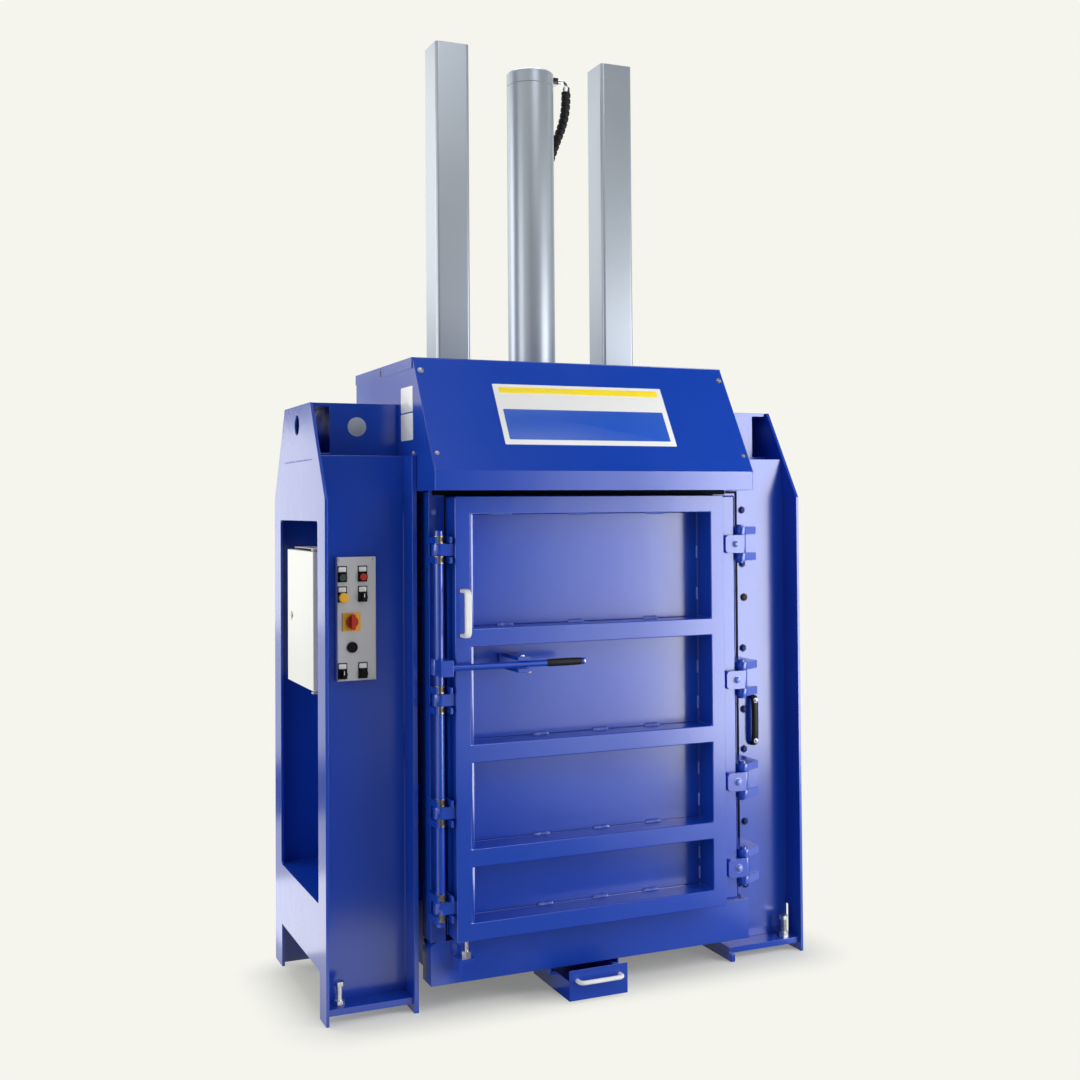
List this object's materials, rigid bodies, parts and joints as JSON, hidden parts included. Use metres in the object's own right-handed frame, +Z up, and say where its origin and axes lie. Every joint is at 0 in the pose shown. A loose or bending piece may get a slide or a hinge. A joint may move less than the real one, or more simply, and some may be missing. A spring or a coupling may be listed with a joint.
{
  "type": "recycling baler",
  "caption": "Upright baler: plate columns, box beam, hydraulic press with guide tubes under a folded hood, ribbed door with a lever lock, control panel and drip drawer.",
  "frame": {"origin": "centre of the overall box's footprint, on the floor", "axes": "+X to the right seen from the front, the door faces -Y, +Z up"},
  "size_m": [1.72, 0.878, 3.188],
  "materials": {
    "blue_paint": "satin enamel",
    "grey_paint": "satin enamel",
    "panel_grey": "satin enamel",
    "cabinet_white": "satin enamel",
    "zinc_steel": "zinc plated",
    "bush_bronze": "turned",
    "bright_chrome": "polished",
    "black_rubber": "matt",
    "black_plastic": "matt",
    "white_plastic": "satin",
    "yellow_plastic": "satin",
    "red_plastic": "satin",
    "green_plastic": "satin"
  },
  "bodies": {
    "frame": {"side_plate_left": "blue_paint", "side_plate_right": "blue_paint", "front_web_left": "blue_paint", "front_web_right": "blue_paint", "inner_wall_left": "blue_paint", "inner_wall_right": "blue_paint", "rear_plates": "blue_paint", "base_plates": "blue_paint", "levelling_feet": "zinc_steel", "column_braces": "blue_paint", "top_beam": "blue_paint", "guide_sleeves": "blue_paint", "chamber_walls": "blue_paint", "chamber_floor": "blue_paint", "door_surround": "blue_paint", "door_sill": "blue_paint", "door_rest_bracket": "blue_paint", "door_rest_bolt": "zinc_steel", "keeper_lugs": "blue_paint", "hinge_brackets": "blue_paint", "web_handle": "black_plastic", "drawer_runners": "blue_paint", "hood_front": "blue_paint", "hood_sides": "blue_paint", "hood_roof": "blue_paint", "cylinder_head": "grey_paint", "cylinder_barrel": "grey_paint", "cylinder_cap": "grey_paint", "hose_elbow": "bright_chrome", "hydraulic_hose": "black_rubber", "hose_gland": "black_rubber", "control_box": "panel_grey", "switch_collars": "black_plastic", "main_switch_plate": "yellow_plastic", "cabinet_box": "panel_grey"},
    "press": {"platen": "blue_paint", "piston_rod": "bright_chrome", "guide_tubes": "grey_paint"},
    "door": {"door_frame": "blue_paint", "door_panel": "blue_paint", "hinge_knuckles": "blue_paint", "lock_blocks": "blue_paint", "door_handle": "white_plastic", "lever_keeper": "blue_paint"},
    "lock": {"lock_shaft": "blue_paint", "lock_bushes": "bush_bronze", "lock_clevis": "blue_paint", "lock_lever": "blue_paint", "lever_grip": "black_rubber"},
    "drawer": {"drawer_tray": "blue_paint", "drawer_handle": "white_plastic"},
    "cabinet_door": {"cabinet_door": "cabinet_white"},
    "cabinet_lock": {"cabinet_lock": "zinc_steel"},
    "push_start": {"push_start": "green_plastic"},
    "push_stop": {"push_stop": "red_plastic"},
    "push_lamp": {"push_lamp": "yellow_plastic"},
    "push_lower": {"push_lower": "black_plastic"},
    "selector_upper": {"selector_upper": "black_plastic"},
    "selector_lower": {"selector_lower": "black_plastic"},
    "main_switch": {"main_switch_handle": "red_plastic"}
  },
  "joints": [
    {"name": "press_slide", "type": "slide", "parent": "frame", "child": "press", "axis": [0, 0, -1], "range_m": [0, 1]},
    {"name": "door_hinge", "type": "hinge", "parent": "frame", "child": "door", "pos_m": [0.582, -0.321, 0.923], "axis": [0, 0, 1], "range_deg": [0, 110]},
    {"name": "lock_turn", "type": "hinge", "parent": "door", "child": "lock", "pos_m": [-0.52, -0.345, 1.083], "axis": [0, 0, 1], "range_deg": [-100, 0]},
    {"name": "drawer_slide", "type": "slide", "parent": "frame", "child": "drawer", "axis": [0, -1, 0], "range_m": [0, 0.15]},
    {"name": "cabinet_door_hinge", "type": "hinge", "parent": "frame", "child": "cabinet_door", "pos_m": [-0.844, -0.072, 1.215], "axis": [0, 0, 1], "range_deg": [0, 110]},
    {"name": "cabinet_lock_turn", "type": "hinge", "parent": "cabinet_door", "child": "cabinet_lock", "pos_m": [-0.855, 0.21265, 1.215], "axis": [1, 0, 0], "range_deg": [0, 90]},
    {"name": "push_start_press", "type": "slide", "parent": "frame", "child": "push_start", "axis": [0, 1, 0], "range_m": [0, 0.004], "stiffness_N_per_m": 900},
    {"name": "push_stop_press", "type": "slide", "parent": "frame", "child": "push_stop", "axis": [0, 1, 0], "range_m": [0, 0.004], "stiffness_N_per_m": 900},
    {"name": "push_lamp_press", "type": "slide", "parent": "frame", "child": "push_lamp", "axis": [0, 1, 0], "range_m": [0, 0.004], "stiffness_N_per_m": 900},
    {"name": "push_lower_press", "type": "slide", "parent": "frame", "child": "push_lower", "axis": [0, 1, 0], "range_m": [0, 0.004], "stiffness_N_per_m": 900},
    {"name": "selector_upper_turn", "type": "hinge", "parent": "frame", "child": "selector_upper", "pos_m": [-0.7211, -0.204, 1.29584], "axis": [0, 1, 0], "range_deg": [-45, 45]},
    {"name": "selector_lower_turn", "type": "hinge", "parent": "frame", "child": "selector_lower", "pos_m": [-0.78662, -0.204, 1.05667], "axis": [0, 1, 0], "range_deg": [-45, 45]},
    {"name": "main_switch_turn", "type": "hinge", "parent": "frame", "child": "main_switch", "pos_m": [-0.75764, -0.204, 1.2196], "axis": [0, 1, 0], "range_deg": [0, 90]}
  ]
}
